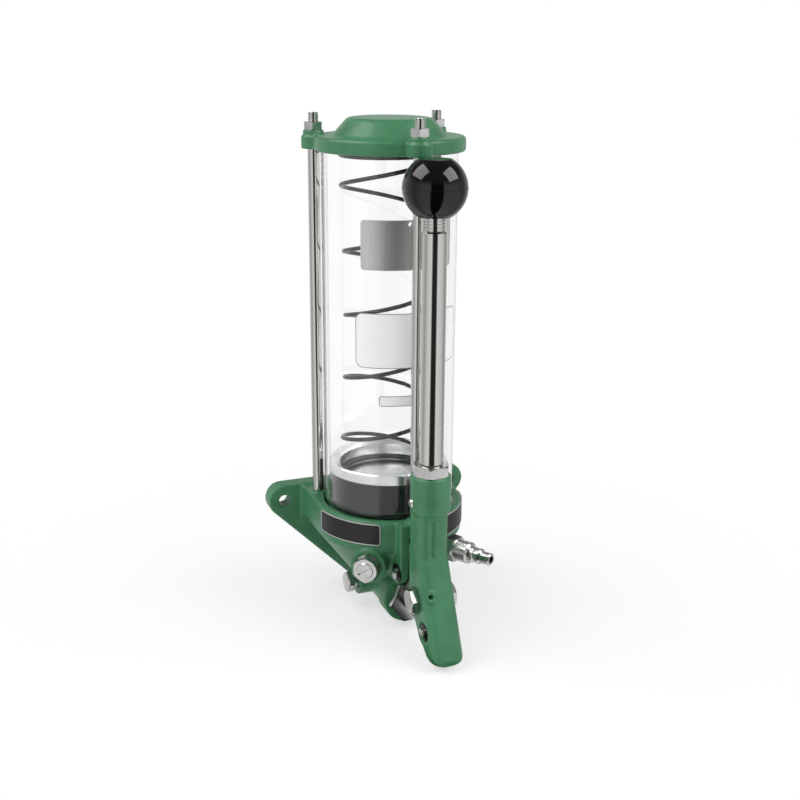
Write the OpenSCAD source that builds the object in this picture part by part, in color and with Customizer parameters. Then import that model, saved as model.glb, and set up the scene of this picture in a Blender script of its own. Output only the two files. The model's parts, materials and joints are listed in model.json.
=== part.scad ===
// Manual lubrication pump: a lever-worked grease pump under a clear spring-follower reservoir.
// The frame has its origin on the wall face, midway between the two mounting holes.
// +Y points into the wall, -Y to the operator, +Z up. All sizes are millimetres.

/* [Reservoir tube] */
// Outer diameter of the clear tube
tube_d = 88.9; // [80:0.1:92]
// Wall of the clear tube
tube_wall = 3.2; // [2.5:0.1:4.5]
// Length of the clear tube
tube_len = 248.3; // [180:0.1:320]
// Depth of the tube's groove in the body
body_groove = 9.6; // [8:0.1:12]
// Depth of the tube's groove in the cap
cap_groove = 4; // [3:0.1:6]
// Thickness of the flat gasket at each end of the tube
gasket_t = 1.6; // [1:0.1:2.5]
// Clearance of the tube in its grooves
groove_gap = 0.3; // [0.1:0.05:0.6]
// Diameter of the vent hole near the top of the tube
vent_d = 3.2; // [2.5:0.1:3.8]
// Height of the vent hole above the body's rim
vent_z = 196.5; // [120:0.5:210]

/* [Body casting] */
// Diameter of the body round the tube
body_d = 101.6; // [98:0.1:110]
// Height of the body's straight skirt
skirt_h = 21; // [18:0.5:26]
// Depth of the whole bowl under the rim
bowl_h = 52; // [48:0.5:56]
// Diameter of the bowl's flat underside
bowl_foot_d = 52; // [44:1:60]
// Drop of the reservoir floor under the rim
floor_drop = 2; // [1:0.1:4]
// Diameter of the sump in the reservoir floor
sump_d = 26; // [16:1:32]
// Depth of the sump under the rim
sump_h = 34; // [30:0.5:38]

/* [Wall mount] */
// Distance from the tube's axis to the wall
axis_to_wall = 52.5; // [50:0.5:60]
// Height of the rim above the mounting holes
rim_z = 10.5; // [8:0.5:14]
// Spacing of the two mounting holes
ear_spacing = 127; // [124:0.5:140]
// Diameter of the mounting holes
ear_hole_d = 8.7; // [6:0.1:10]
// Radius of the ears round the mounting holes
ear_r = 11.5; // [10:0.1:13]
// Thickness of the mounting plate
plate_t = 12.8; // [10:0.1:14]
// Radius of the plate's lower end
plate_foot_r = 22; // [16:0.5:26]
// Height of the plate's lower end circle under the rim
plate_foot_drop = 59; // [54:0.5:64]

/* [Tie rods and cap] */
// Radius of the circle of the three tie rods
rod_circle_r = 50; // [49:0.1:53]
// Diameter of the tie rods
rod_d = 7.94; // [7:0.01:9]
// Diameter of their threaded ends
rod_thread_d = 6.35; // [5:0.01:6.6]
// Length of thread screwed into the body
rod_thread_l = 8; // [6:0.1:9]
// Height of the rod bosses above the rim
rod_boss_h = 1.5; // [1:0.1:3]
// Diameter of the cap's disc
cap_d = 98.2; // [96:0.1:106]
// Thickness of the cap's disc
cap_t = 9.6; // [8:0.1:12]
// Height of the dome above the disc
dome_h = 11.2; // [8:0.1:16]
// Diameter of the dome at its base
dome_d = 76; // [64:0.5:82]
// Diameter of the dome's flat top
dome_top_d = 51.4; // [30:0.5:56]
// Radius of the cap's lobes round the rods
lobe_r = 8; // [7:0.1:10]
// Height of the nut bosses on the lobes
nut_boss_h = 2.5; // [1:0.1:4]
// Width across flats of the tie rod nuts
rod_nut_af = 11.1; // [10:0.1:12]
// Height of the tie rod nuts
rod_nut_h = 5; // [4:0.1:6]
// Length of rod showing above its nut
rod_tail = 6; // [3:0.1:9]

/* [Follower] */
// Height of the follower above the reservoir floor, to its top edge
follower_h = 31.8; // [26:0.1:40]
// Height of the follower's flange
flange_h = 7; // [5:0.1:9]
// Radial gap between the seal and the tube's wall
seal_gap = 0.05; // [0.02:0.01:0.1]
// Radial step of the plate's flange inside the seal's edge
flange_step = 0.7; // [0.4:0.1:1.5]
// Thickness of the seal round the follower's skirt
seal_t = 3; // [2.4:0.1:4]
// Height of the dish floor above the reservoir floor
dish_floor = 17; // [14:0.5:20]
// Wire diameter of the follower spring
spring_wire = 2.8; // [2:0.1:3.2]
// Mean radius of the follower spring
spring_r = 30; // [28:0.5:33]
// Free turns of the follower spring
spring_turns = 5; // [4:0.1:7]

/* [Lever and handle] */
// Distance from the tube's axis to the handle's axis
handle_y = 74.3; // [74.3:0.1:78]
// Diameter of the handle rod
handle_d = 15.88; // [14:0.01:16.5]
// Distance from the cap's underside down to the handle's shoulder
handle_drop = 40.9; // [30:0.1:90]
// Diameter of the handle's threaded ends
handle_thread_d = 12.7; // [10:0.1:14]
// Diameter of the ball knob
ball_d = 39.6; // [34:0.1:40]
// Gap between the handle's shoulder and the ball's flat
ball_gap = 6.5; // [4:0.1:9]
// Height of the lever's socket above the rim
socket_top = 41.8; // [38:0.1:46]
// Radius of the lever's socket
socket_r = 13.2; // [12.6:0.1:14]
// Width of the lever's arm
lever_w = 22; // [21:0.5:24]
// Width of the lever's neck under the socket
neck_w = 20.6; // [19:0.1:21]
// Slant of the lever's lower arm, from the vertical
arm_slant = 24.5; // [24:0.1:26]
// Length of the lower arm below its knee
arm_len = 68.5; // [66:0.5:72]
// Thickness of the lower arm at its end
arm_t = 12; // [10:0.5:13]
// Thickness of the lever's front wall
lever_web = 3.2; // [2.5:0.1:3.4]
// Depth of the cast groove down the lever's neck
groove_depth = 0.9; // [0.4:0.1:1.5]
// Width of the slot in the lever and in the body's clevis
slot_w = 13.4; // [13.1:0.1:14]
// Width of the link and of the plunger's eye
link_w = 12.7; // [12:0.1:12.8]
// Width across flats of the lock nut on the handle
lock_nut_af = 22.2; // [20:0.1:24]
// Height of the lock nut
lock_nut_h = 7; // [6:0.1:9]
// Height of the cross pin in the socket above the rim
socket_pin_z = 23.5; // [20:0.5:30]
// Diameter of the cross pin
socket_pin_d = 5; // [4:0.1:6]

/* [Pivots, measured from the tube's axis and from the bowl's underside] */
// Forward distance of the link's pivot in the body
link_pin_y = 50.5; // [50:0.1:51.5]
// Height of the link's pivot above the bowl's underside
link_pin_up = 16.5; // [16:0.1:17]
// Forward distance of the lever's fulcrum
fulcrum_y = 77; // [76.5:0.1:77.5]
// Height of the lever's fulcrum above the bowl's underside
fulcrum_up = 8.5; // [8:0.1:9]
// Forward distance of the plunger's pin
plunger_pin_y = 91; // [90.5:0.1:91.5]
// Drop of the plunger's axis under the bowl's underside
plunger_below = 8.5; // [8:0.1:9]
// Diameter of the link's pin
link_pin_d = 7.94; // [7:0.01:8.4]
// Diameter of the fulcrum bolt
fulcrum_d = 9.52; // [9:0.01:10]
// Diameter of the plunger's pin
plunger_pin_d = 6.35; // [6:0.01:6.6]
// Radial running clearance of a pin in its eye
pin_gap = 0.05; // [0.02:0.01:0.1]
// Extra radius of the plunger's eye round its pin
eye_play_y = 0.95; // [0.9:0.05:1.1]
// Extra half height of the plunger's eye round its pin
eye_play_z = 1.45; // [1.4:0.05:1.6]

/* [Pump] */
// Diameter of the plunger
plunger_d = 12.7; // [12:0.1:13]
// Radius of the pump barrel
barrel_r = 16.5; // [15:0.5:18]
// Radius of the gland's boss
gland_boss_r = 18; // [17:0.5:20]
// Forward distance of the gland boss's face
gland_face_y = 40; // [38:0.5:42]
// Width across flats of the gland nut
gland_af = 27.3; // [26:0.1:30]
// Thickness of the gland nut's hexagon
gland_hex_t = 6.7; // [5:0.1:8]
// Radius of the gland nut's thread
gland_thread_r = 9.55; // [9:0.05:11]
// Length of plunger inside the gland's face, at rest
plunger_in = 23; // [21:0.5:24]
// Drop of the discharge drilling's axis under the plunger's axis
discharge_below = 2.2; // [0:0.1:2.5]
// Diameter of the two feed ports between the sump and the barrel
feed_port_d = 3.6; // [3:0.1:3.8]
// Height of the discharge boss from the pump's centre plane
outlet_reach = 33; // [31:0.5:36]
// Radius of the outlet's tapped hole
outlet_r = 5.56; // [5:0.01:6]
// Length of the outlet's tapped hole
outlet_l = 10; // [8:0.5:12]

/* [Fittings] */
// Bearing of the relief valve, left of the front
relief_az = 36; // [33:0.5:38]
// Drop of the relief valve's axis
relief_drop = 31; // [29:0.5:32]
// Width across flats of the relief valve
relief_af = 15.9; // [14:0.1:17]
// Bearing of the fill nipple, right of the front
fill_az = 30; // [29:0.5:34]
// Drop of the fill nipple's axis
fill_drop = 24.3; // [22:0.1:26]
// Width across flats of the fill nipple
fill_af = 15.9; // [14:0.1:17]
// Height of the fill nipple's hexagon
fill_hex_h = 7.5; // [6:0.1:9]
// Radius of the fill nipple's collar
fill_collar_r = 7.4; // [6.5:0.1:8]
// Length of the fill nipple's collar
fill_collar_l = 9.5; // [7:0.1:12]
// Radius of the fill nipple's tip
fill_tip_r = 4.2; // [3.5:0.1:5]
// Length of the fill nipple's tip
fill_tip_l = 6; // [4:0.1:9]
// Height of the nameplates
badge_h = 15; // [10:0.5:16]
// Thickness of the nameplates
badge_t = 0.8; // [0.4:0.1:1.2]

/* [Hidden] */
$fn = 64;

e = 0.01;
casting_green = "#4f8a63";
steel_grey = "#c9cbcc";
black_rubber = "#1c1c1e";
tube_r = tube_d / 2;
bore_r = tube_r - tube_wall;
body_r = body_d / 2;
cap_r = cap_d / 2;
tube_z = gasket_t - body_groove;
cap_z = tube_z + tube_len + gasket_t - cap_groove;
cap_top = cap_z + cap_t;
nut_seat = cap_top + nut_boss_h;
rod_angles = [-90, 30, 150];
handle_top = cap_z - handle_drop;
link_pin_drop = bowl_h - link_pin_up;
fulcrum_drop = bowl_h - fulcrum_up;
plunger_drop = bowl_h + plunger_below;
discharge_drop = plunger_drop + discharge_below;
ear_drop = rim_z;
seal_r = bore_r - seal_gap;
seal_in_r = seal_r - seal_t;
floor_z = -floor_drop;
follower_rest = floor_z + 0.3;
flange_top = floor_z + follower_h;
flange_z = flange_top - flange_h;
dish_z = floor_z + dish_floor;
dish_wall = 3;
dish_disc_h = 2;
spring_start = -46;
lever_half = lever_w / 2;
slot_half = slot_w / 2;
neck_half = neck_w / 2;
lever_front_y = -(handle_y + 9);
lever_back_y = -(handle_y - 9.3);
knee_up = 29.5;
knee_z = knee_up - fulcrum_drop;
arm_round = 6;
socket_foot = 18;
socket_hole_z = 16;
groove_x = -2.3;
groove_w = 5;
spot_depth = 1.2;
spot_x = lever_half - spot_depth;
fulcrum_spot_r = 9.2;
pin_spot_r = 7;
arm_boss_x = -7;
arm_boss_z = -22.9;
arm_boss_r = 4.2;
arm_hole_r = 1.6;
thread_r = handle_thread_d / 2;
lock_nut_turn = 6.5;
rod_nut_turn = -22.8;
fulcrum_boss_r = 10;
plunger_boss_r = 9.5;
bolt_af = 14.3;
bolt_head_h = 6;
clip_t = 1;
clevis_half = 12.9;
clevis_front_y = -56.2;
clevis_foot = -(link_pin_drop + 9.1);
link_eye_r = 7.5;
fulcrum_eye_r = 8.5;
plunger_eye_r = 7.3;
packing_l = 4.8;
gland_spigot = 8;
discharge_y = 2;
feed_port_y = [6, 10.8];
check_seat_x = 10;
check_port_r = 2.5;
check_ball_r = 4;
check_chamber_r = 5;
check_ball_x = check_seat_x + sqrt(pow(check_ball_r, 2) - pow(check_port_r, 2));
retainer_t = 2;
outlet_boss_r = 9.5;
plug_thread_r = 5.2;
plug_boss_x = 23.5;
plug_neck_l = 4;
plug_head_r = 7.2;
plug_head_l = 3;
relief_face_r = 52.5;
relief_thread_r = 6.6;
relief_seat_r = 40;
relief_ball_r = 3.2;
relief_port_r = 2;
relief_ball_x = relief_seat_r + sqrt(pow(relief_ball_r, 2) - pow(relief_port_r, 2));
fill_face_r = 53.5;
fill_thread_r = 6.3;
fill_boss_r = 8;
fill_thread_l = 9;
fill_bore_r = 2.4;
relief_boss_r = 12.2;
relief_spot_r = 10;
relief_spot_t = 0.8;
relief_thread_l = 7.5;
relief_collar_r = 8.8;
relief_collar_t = 2;
relief_hex_h = 6;
relief_screw_r = 5.6;
relief_bore_r = 3.7;
badge_from_az = 27;
badge_to_az = 84;
badge_drop = 1.2;

// Places its children on the tube's axis, with z = 0 at the body's rim
module at_axis() {
    translate([0, -axis_to_wall, rim_z]) children();
}

// Turns a child that lies along +Z so that it points outward at a bearing from the front
module radial(az, drop) {
    translate([0, 0, -drop]) rotate([0, 0, az]) rotate([90, 0, 0]) children();
}

// Places its children at a pivot, with their +Z along +X
module pivot(y, drop) {
    translate([0, -y, -drop]) rotate([0, 90, 0]) children();
}

// A round bar through the centre plane, along X
module cross_bar(r, half) {
    translate([0, 0, -half]) cylinder(r = r, h = 2 * half);
}

module hexagon(af, h) {
    cylinder(d = af / cos(30), h = h, $fn = 6);
}

// A hexagon whose corners are turned off, as on a nut
module turned_hexagon(af, h, chamfer) {
    intersection() {
        hexagon(af, h);
        union() {
            translate([0, 0, chamfer]) cylinder(r = af, h = h - 2 * chamfer);
            cylinder(r1 = af / 2, r2 = af / 2 + 3 * chamfer, h = 1.5 * chamfer);
            translate([0, 0, h - 1.5 * chamfer])
                cylinder(r1 = af / 2 + 3 * chamfer, r2 = af / 2, h = 1.5 * chamfer);
        }
    }
}

module ring(r_out, r_in, h) {
    difference() {
        cylinder(r = r_out, h = h);
        translate([0, 0, -e]) cylinder(r = r_in, h = h + 2 * e);
    }
}

// Direction of the outward normal of the line that touches two circles from below
function touch_dir(from, to, r1, r2) =
    let (v = to - from, a = atan2(v[1], v[0]), b = acos((r1 - r2) / norm(v)))
    [cos(a - b), sin(a - b)];

// Points of a coil's centre line: end turns lie flat, free turns rise evenly
function coil_point(i, per_turn, turns, radius, wire, height) =
    let (t = i / per_turn,
        free = min(max(t - 1, 0), turns),
        end_turn = min(t, 1) + max(t - 1 - turns, 0),
        rise = wire * end_turn + (height - 3 * wire) * free / turns)
    [radius * cos(360 * t), radius * sin(360 * t), wire / 2 + rise];

// A round wire swept along a coil that stands on z = 0 and is height tall
module coil(turns, radius, wire, height, per_turn, sides) {
    count = ceil((turns + 2) * per_turn);
    rings = [for (i = [0:count]) coil_point(i, per_turn, turns, radius, wire, height)];
    points = [for (i = [0:count]) for (k = [0:sides - 1])
        let (a = 360 * i / per_turn, b = 360 * k / sides, out = wire / 2 * cos(b))
        rings[i] + [out * cos(a), out * sin(a), wire / 2 * sin(b)]];
    side_faces = [for (i = [0:count - 1]) for (k = [0:sides - 1])
        let (n = (k + 1) % sides)
        [i * sides + k, i * sides + n, (i + 1) * sides + n, (i + 1) * sides + k]];
    start_face = [[for (k = [sides - 1:-1:0]) k]];
    end_face = [[for (k = [0:sides - 1]) count * sides + k]];
    polyhedron(points, concat(side_faces, start_face, end_face));
}

// The mounting plate's outline in X and Z: two ears joined to a round foot
module plate_outline() {
    ear = [-ear_spacing / 2, -ear_drop];
    foot = [0, -plate_foot_drop];
    n = touch_dir(ear, foot, ear_r, plate_foot_r);
    ear_touch = ear + ear_r * n;
    foot_touch = foot + plate_foot_r * n;
    for (side = [-1, 1]) {
        translate([side * ear[0], ear[1]]) circle(r = ear_r);
    }
    translate(foot) circle(r = plate_foot_r);
    polygon([[ear[0], ear[1] + ear_r], [-ear[0], ear[1] + ear_r],
        [-ear_touch[0], ear_touch[1]], [-foot_touch[0], foot_touch[1]],
        foot_touch, ear_touch]);
}

module bowl() {
    rotate_extrude()
        polygon([[0, 0], [body_r - 1, 0], [body_r, -1], [body_r, -skirt_h],
            [bowl_foot_d / 2 + 3, -bowl_h + 2], [bowl_foot_d / 2, -bowl_h], [0, -bowl_h]]);
}

// The webs that carry the plate, level with the rim
module webs() {
    plate_front = axis_to_wall - plate_t;
    web_half = body_r - 0.2;
    translate([-web_half, 0, -skirt_h - 1]) cube([2 * web_half, plate_front + 1, skirt_h + 1]);
}

// The two cheeks that hold the link's pin, as one boss on the body's front
module clevis_boss() {
    rotate([90, 0, 90]) translate([0, 0, -clevis_half]) linear_extrude(2 * clevis_half)
        polygon([[-30, 0], [-30, clevis_foot], [clevis_front_y + 7, clevis_foot],
            [clevis_front_y, clevis_foot + 7], [clevis_front_y, 0]]);
}

module pump_body() {
    color(casting_green) at_axis() difference() {
        union() {
            bowl();
            webs();
            translate([0, axis_to_wall, 0]) rotate([90, 0, 0]) linear_extrude(plate_t) plate_outline();
            clevis_boss();
            for (a = rod_angles)
                rotate([0, 0, a]) translate([rod_circle_r, 0, -6]) cylinder(r = 6, h = 6 + rod_boss_h);
            translate([0, axis_to_wall - plate_t + 1, -plunger_drop]) rotate([90, 0, 0])
                cylinder(r = barrel_r, h = axis_to_wall - plate_t + 1 + gland_face_y - 2);
            translate([0, -gland_face_y + 14, -plunger_drop]) rotate([90, 0, 0])
                cylinder(r = gland_boss_r, h = 14);
            radial(-relief_az, relief_drop) cylinder(r = relief_boss_r, h = relief_face_r + relief_spot_t);
            radial(fill_az, fill_drop) cylinder(r = fill_boss_r, h = fill_face_r);
            pivot(-discharge_y, discharge_drop) translate([0, 0, -plug_boss_x])
                cylinder(r = outlet_boss_r, h = plug_boss_x + outlet_reach);
        }
        translate([0, 0, -floor_drop]) cylinder(r = bore_r - groove_gap, h = floor_drop + 1);
        translate([0, 0, -body_groove])
            ring(tube_r + groove_gap, bore_r - groove_gap - e, body_groove + rod_boss_h + 1);
        translate([0, 0, -sump_h]) cylinder(d = sump_d, h = sump_h);
        for (a = rod_angles)
            rotate([0, 0, a]) translate([rod_circle_r, 0, -rod_thread_l])
                cylinder(d = rod_thread_d, h = rod_thread_l + rod_boss_h + 1);
        for (side = [-1, 1])
            translate([side * ear_spacing / 2, axis_to_wall + 1, -ear_drop]) rotate([90, 0, 0])
                cylinder(d = ear_hole_d, h = plate_t + 2);
        translate([-slot_half, clevis_front_y - 1, -bowl_h - 10])
            cube([slot_w, -clevis_front_y + 1 - 46.5, bowl_h + 10 - rod_thread_l]);
        pivot(link_pin_y, link_pin_drop) cross_bar(link_eye_r + 0.7, slot_half);
        pivot(link_pin_y, link_pin_drop) cross_bar(link_pin_d / 2, clevis_half + 1);
        translate([0, discharge_y + 4, -plunger_drop]) rotate([90, 0, 0])
            cylinder(r = plunger_d / 2 + pin_gap, h = gland_face_y + discharge_y + 5);
        translate([0, -gland_face_y + gland_spigot + packing_l, -plunger_drop]) rotate([90, 0, 0])
            cylinder(r = gland_thread_r, h = gland_spigot + packing_l + 1);
        for (y = feed_port_y)
            translate([0, -y, -plunger_drop]) cylinder(d = feed_port_d, h = plunger_drop - sump_h + 1);
        pivot(-discharge_y, discharge_drop) cross_bar(check_port_r, plug_boss_x);
        pivot(-discharge_y, discharge_drop) translate([0, 0, check_seat_x])
            cylinder(r = check_chamber_r, h = outlet_reach - check_seat_x);
        pivot(-discharge_y, discharge_drop) translate([0, 0, outlet_reach - outlet_l])
            cylinder(r = outlet_r, h = outlet_l + 1);
        pivot(-discharge_y, discharge_drop) translate([0, 0, -plug_boss_x - 1])
            cylinder(r = plug_thread_r, h = 10);
        radial(fill_az, fill_drop) cylinder(r = 3.5, h = fill_face_r);
        radial(fill_az, fill_drop) translate([0, 0, fill_face_r - fill_thread_l])
            cylinder(r = fill_thread_r, h = fill_thread_l + 1);
        radial(-relief_az, relief_drop) translate([0, 0, 26]) cylinder(r = relief_port_r, h = 20);
        radial(-relief_az, relief_drop) translate([0, 0, relief_seat_r])
            cylinder(r = relief_thread_r, h = relief_face_r - relief_seat_r + 1);
        radial(-relief_az, relief_drop) translate([0, 0, relief_face_r]) cylinder(r = relief_spot_r, h = 5);
    }
}

module reservoir_tube() {
    color("#dfe6ea", 0.35) at_axis() difference() {
        translate([0, 0, tube_z]) ring(tube_r, bore_r, tube_len);
        radial(-4, -vent_z) cylinder(d = vent_d, h = tube_r + 1);
    }
}

module tube_gaskets() {
    color(black_rubber) at_axis() {
        translate([0, 0, -body_groove]) ring(tube_r, bore_r, gasket_t);
        translate([0, 0, tube_z + tube_len]) ring(tube_r, bore_r, gasket_t);
    }
}

module top_cap() {
    color(casting_green) at_axis() difference() {
        union() {
            translate([0, 0, cap_z]) rotate_extrude()
                polygon([[0, 0], [cap_r - 1, 0], [cap_r, 1], [cap_r, cap_t - 1.5], [cap_r - 1.5, cap_t],
                    [dome_d / 2, cap_t], [dome_d / 2 - 1.5, cap_t + 0.8],
                    [dome_top_d / 2 + 2.6, cap_t + dome_h - 1.4],
                    [dome_top_d / 2 + 0.8, cap_t + dome_h - 0.3],
                    [dome_top_d / 2 - 1.5, cap_t + dome_h], [0, cap_t + dome_h]]);
            for (a = rod_angles) rotate([0, 0, a]) {
                translate([rod_circle_r, 0, cap_z]) cylinder(r = lobe_r, h = cap_t - 1.5);
                translate([rod_circle_r, 0, cap_z + 2]) cylinder(r = 6.7, h = cap_t - 2 + nut_boss_h);
            }
        }
        translate([0, 0, cap_z - 1]) ring(tube_r + groove_gap, bore_r - groove_gap, cap_groove + 1);
        translate([0, 0, cap_z - 1]) cylinder(r1 = 24, r2 = 22, h = cap_t + dome_h - 4);
        for (a = rod_angles)
            rotate([0, 0, a]) translate([rod_circle_r, 0, cap_z - 1])
                cylinder(d = rod_thread_d, h = cap_t + nut_boss_h + 2);
    }
}

module tie_rods() {
    color(steel_grey) at_axis() for (a = rod_angles) rotate([0, 0, a]) translate([rod_circle_r, 0, 0]) {
        translate([0, 0, rod_boss_h]) cylinder(d = rod_d, h = cap_z - rod_boss_h);
        translate([0, 0, -rod_thread_l]) cylinder(d = rod_thread_d, h = rod_thread_l + rod_boss_h + 1);
        translate([0, 0, cap_z - 1]) cylinder(d = rod_thread_d, h = nut_seat + rod_nut_h + rod_tail - cap_z);
        translate([0, 0, nut_seat + rod_nut_h + rod_tail - 1])
            cylinder(d1 = rod_thread_d, d2 = rod_thread_d - 1.6, h = 1);
    }
}

module tie_rod_nuts() {
    color(steel_grey) at_axis() for (a = rod_angles) rotate([0, 0, a])
        translate([rod_circle_r, 0, nut_seat]) difference() {
            rotate([0, 0, rod_nut_turn]) turned_hexagon(rod_nut_af, rod_nut_h, 0.6);
            translate([0, 0, -1]) cylinder(d = rod_thread_d, h = rod_nut_h + 2);
        }
}

// The follower's dish: a flange with an inward bevel, a skirt, and a floor with a raised disc
module follower_plate() {
    flange_r = seal_r - flange_step;
    rim_w = 1.2;
    bevel_w = 5.5;
    color(steel_grey) at_axis() rotate_extrude()
        polygon([[0, dish_z - dish_wall], [seal_in_r - 3, dish_z - dish_wall],
            [seal_in_r - 3, follower_rest + 4], [seal_in_r, follower_rest + 4], [seal_in_r, flange_z],
            [flange_r, flange_z], [flange_r, flange_top - 0.8], [flange_r - 0.8, flange_top],
            [flange_r - rim_w, flange_top], [flange_r - rim_w - bevel_w, flange_top - 3.2],
            [flange_r - rim_w - bevel_w, dish_z], [17, dish_z], [15.5, dish_z + dish_disc_h],
            [0, dish_z + dish_disc_h]]);
}

// The black cup seal: two lips that wipe the tube, and a foot under the skirt
module follower_seal() {
    lip = 4;
    color(black_rubber) at_axis() rotate_extrude()
        polygon([[seal_in_r - 3, follower_rest], [seal_r - 1, follower_rest], [seal_r, follower_rest + 1],
            [seal_r, follower_rest + lip], [seal_r - 0.8, follower_rest + lip + 1],
            [seal_r - 0.8, flange_z - lip - 1], [seal_r, flange_z - lip], [seal_r, flange_z - 0.8],
            [seal_r - 0.6, flange_z], [seal_in_r, flange_z], [seal_in_r, follower_rest + 4],
            [seal_in_r - 3, follower_rest + 4]]);
}

module follower_spring() {
    color("#2a2a2c") at_axis() translate([0, 0, dish_z]) rotate([0, 0, spring_start])
        coil(spring_turns, spring_r, spring_wire, cap_z - dish_z, 20, 8);
}

// Plan of the lever: straight at the back, round at its two front corners
module lever_plan(half) {
    translate([-half, arm_round]) square([2 * half, 60]);
    translate([-half + arm_round, 0]) square([2 * (half - arm_round), arm_round + 1]);
    for (side = [-1, 1])
        translate([side * (half - arm_round), arm_round]) circle(r = arm_round);
}

// Places its children in the lower arm's own frame: front face at y = 0, running down along -Z
module at_arm() {
    translate([0, lever_front_y, knee_z]) rotate([-arm_slant, 0, 0]) children();
}

// Outline of the lever seen from the side, in Y and Z. It stands over the front and the end of the room
// that cuts it, so that no two faces of them touch flat.
module lever_side() {
    over = 2;
    nip = 0.3;
    n = [cos(arm_slant), -sin(arm_slant)];
    d = [-sin(arm_slant), -cos(arm_slant)];
    knee = [lever_front_y, knee_z];
    fulcrum = [-fulcrum_y, -fulcrum_drop];
    pin = [-plunger_pin_y, -plunger_drop];
    end_r = arm_t / 2;
    end = knee + (arm_len - end_r + nip) * d;
    polygon([[lever_front_y - over, socket_foot], [lever_back_y, socket_foot],
        [lever_back_y - 1, fulcrum[1] + 1.5 * fulcrum_boss_r],
        fulcrum + fulcrum_boss_r * n, pin + plunger_boss_r * n, end + (arm_t - nip) * n,
        end - over * n, knee - over * n]);
    translate(fulcrum) circle(r = fulcrum_boss_r);
    translate(pin) circle(r = plunger_boss_r);
    translate(end + (end_r - nip) * n) circle(r = end_r);
}

// The room that the lever's round front corners and round end leave
module lever_envelope() {
    end_round = 9;
    below_all = 90;
    translate([0, lever_front_y, -below_all]) linear_extrude(below_all + socket_foot) lever_plan(neck_half);
    at_arm() intersection() {
        translate([0, 0, -arm_len]) linear_extrude(arm_len + 12) lever_plan(lever_half);
        translate([0, 50, 0]) rotate([90, 0, 0]) linear_extrude(60) {
            translate([-lever_half, -arm_len + end_round]) square([lever_w, arm_len + 20]);
            translate([-lever_half + end_round, -arm_len]) square([lever_w - 2 * end_round, end_round + 1]);
            for (side = [-1, 1])
                translate([side * (lever_half - end_round), -arm_len + end_round]) circle(r = end_round);
        }
    }
}

// The slot for the link and the plunger: open at the back, closed by the lever's front wall
module lever_slot() {
    pocket_end = 55.5;
    neck_slot_end = fulcrum_drop - 4.3;
    neck_wall = 5.5;
    slot_top = 4;
    slot_back = 60;
    rotate([90, 0, 90]) translate([0, 0, -slot_half]) linear_extrude(slot_w) {
        translate([lever_front_y + neck_wall, -neck_slot_end])
            square([slot_back, neck_slot_end - slot_top]);
        translate([lever_front_y, knee_z]) rotate(-arm_slant)
            translate([lever_web, -pocket_end]) square([slot_back, pocket_end]);
    }
}

module lever() {
    color(casting_green) at_axis() difference() {
        union() {
            intersection() {
                rotate([90, 0, 90]) translate([0, 0, -lever_w]) linear_extrude(2 * lever_w) lever_side();
                lever_envelope();
            }
            translate([0, -handle_y, socket_foot]) cylinder(r = socket_r, h = socket_top - socket_foot - 1);
            translate([0, -handle_y, socket_top - 1]) cylinder(r1 = socket_r, r2 = socket_r - 1, h = 1);
            translate([0, -handle_y, socket_foot - 4]) cylinder(r1 = socket_r - 4, r2 = socket_r, h = 4);
            at_arm() translate([arm_boss_x, 0, arm_boss_z]) rotate([90, 0, 0])
                cylinder(r = arm_boss_r, h = 1.2);
        }
        translate([0, -handle_y, socket_hole_z]) cylinder(r = thread_r, h = socket_top);
        translate([groove_x, lever_front_y - groove_w / 2 + groove_depth, knee_z + 1])
            cylinder(r = groove_w / 2, h = socket_foot - knee_z - 6);
        pivot(handle_y, -socket_pin_z) cross_bar(socket_pin_d / 2 + pin_gap, socket_r + 1);
        lever_slot();
        pivot(fulcrum_y, fulcrum_drop) {
            cross_bar(fulcrum_d / 2, lever_half + 1);
            for (side = [0, 1]) mirror([0, 0, side])
                translate([0, 0, spot_x]) cylinder(r = fulcrum_spot_r, h = 10);
        }
        pivot(plunger_pin_y, plunger_drop) {
            cross_bar(plunger_pin_d / 2, lever_half + 1);
            for (side = [0, 1]) mirror([0, 0, side])
                translate([0, 0, spot_x]) cylinder(r = pin_spot_r, h = 10);
        }
        at_arm() translate([arm_boss_x, 3, arm_boss_z]) rotate([90, 0, 0]) cylinder(r = arm_hole_r, h = 6);
    }
}

module handle_rod() {
    handle_foot = socket_top + lock_nut_h;
    color(steel_grey) at_axis() translate([0, -handle_y, 0]) difference() {
        union() {
            translate([0, 0, socket_hole_z]) cylinder(r = thread_r, h = handle_top + 18 - socket_hole_z);
            translate([0, 0, handle_foot]) cylinder(d1 = handle_d - 2, d2 = handle_d, h = 1);
            translate([0, 0, handle_foot + 1]) cylinder(d = handle_d, h = handle_top - handle_foot - 2);
            translate([0, 0, handle_top - 1]) cylinder(d1 = handle_d, d2 = handle_d - 2, h = 1);
        }
        translate([0, 0, socket_pin_z]) rotate([0, 90, 0])
            cross_bar(socket_pin_d / 2 + pin_gap, socket_r + 1);
    }
}

module ball_knob() {
    flat = 1.1;
    ball_z = handle_top + ball_gap + ball_d / 2 - flat;
    color("#101012") at_axis() translate([0, -handle_y, ball_z]) difference() {
        union() {
            difference() {
                sphere(d = ball_d, $fn = 48);
                translate([0, 0, -ball_d]) cylinder(r = ball_d, h = ball_d / 2 + flat);
            }
            translate([0, 0, -0.3]) cylinder(r = ball_d / 2 + 0.25, h = 0.6);
        }
        translate([0, 0, -ball_d]) cylinder(r = thread_r, h = ball_d + handle_top + 18 - ball_z);
    }
}

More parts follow.
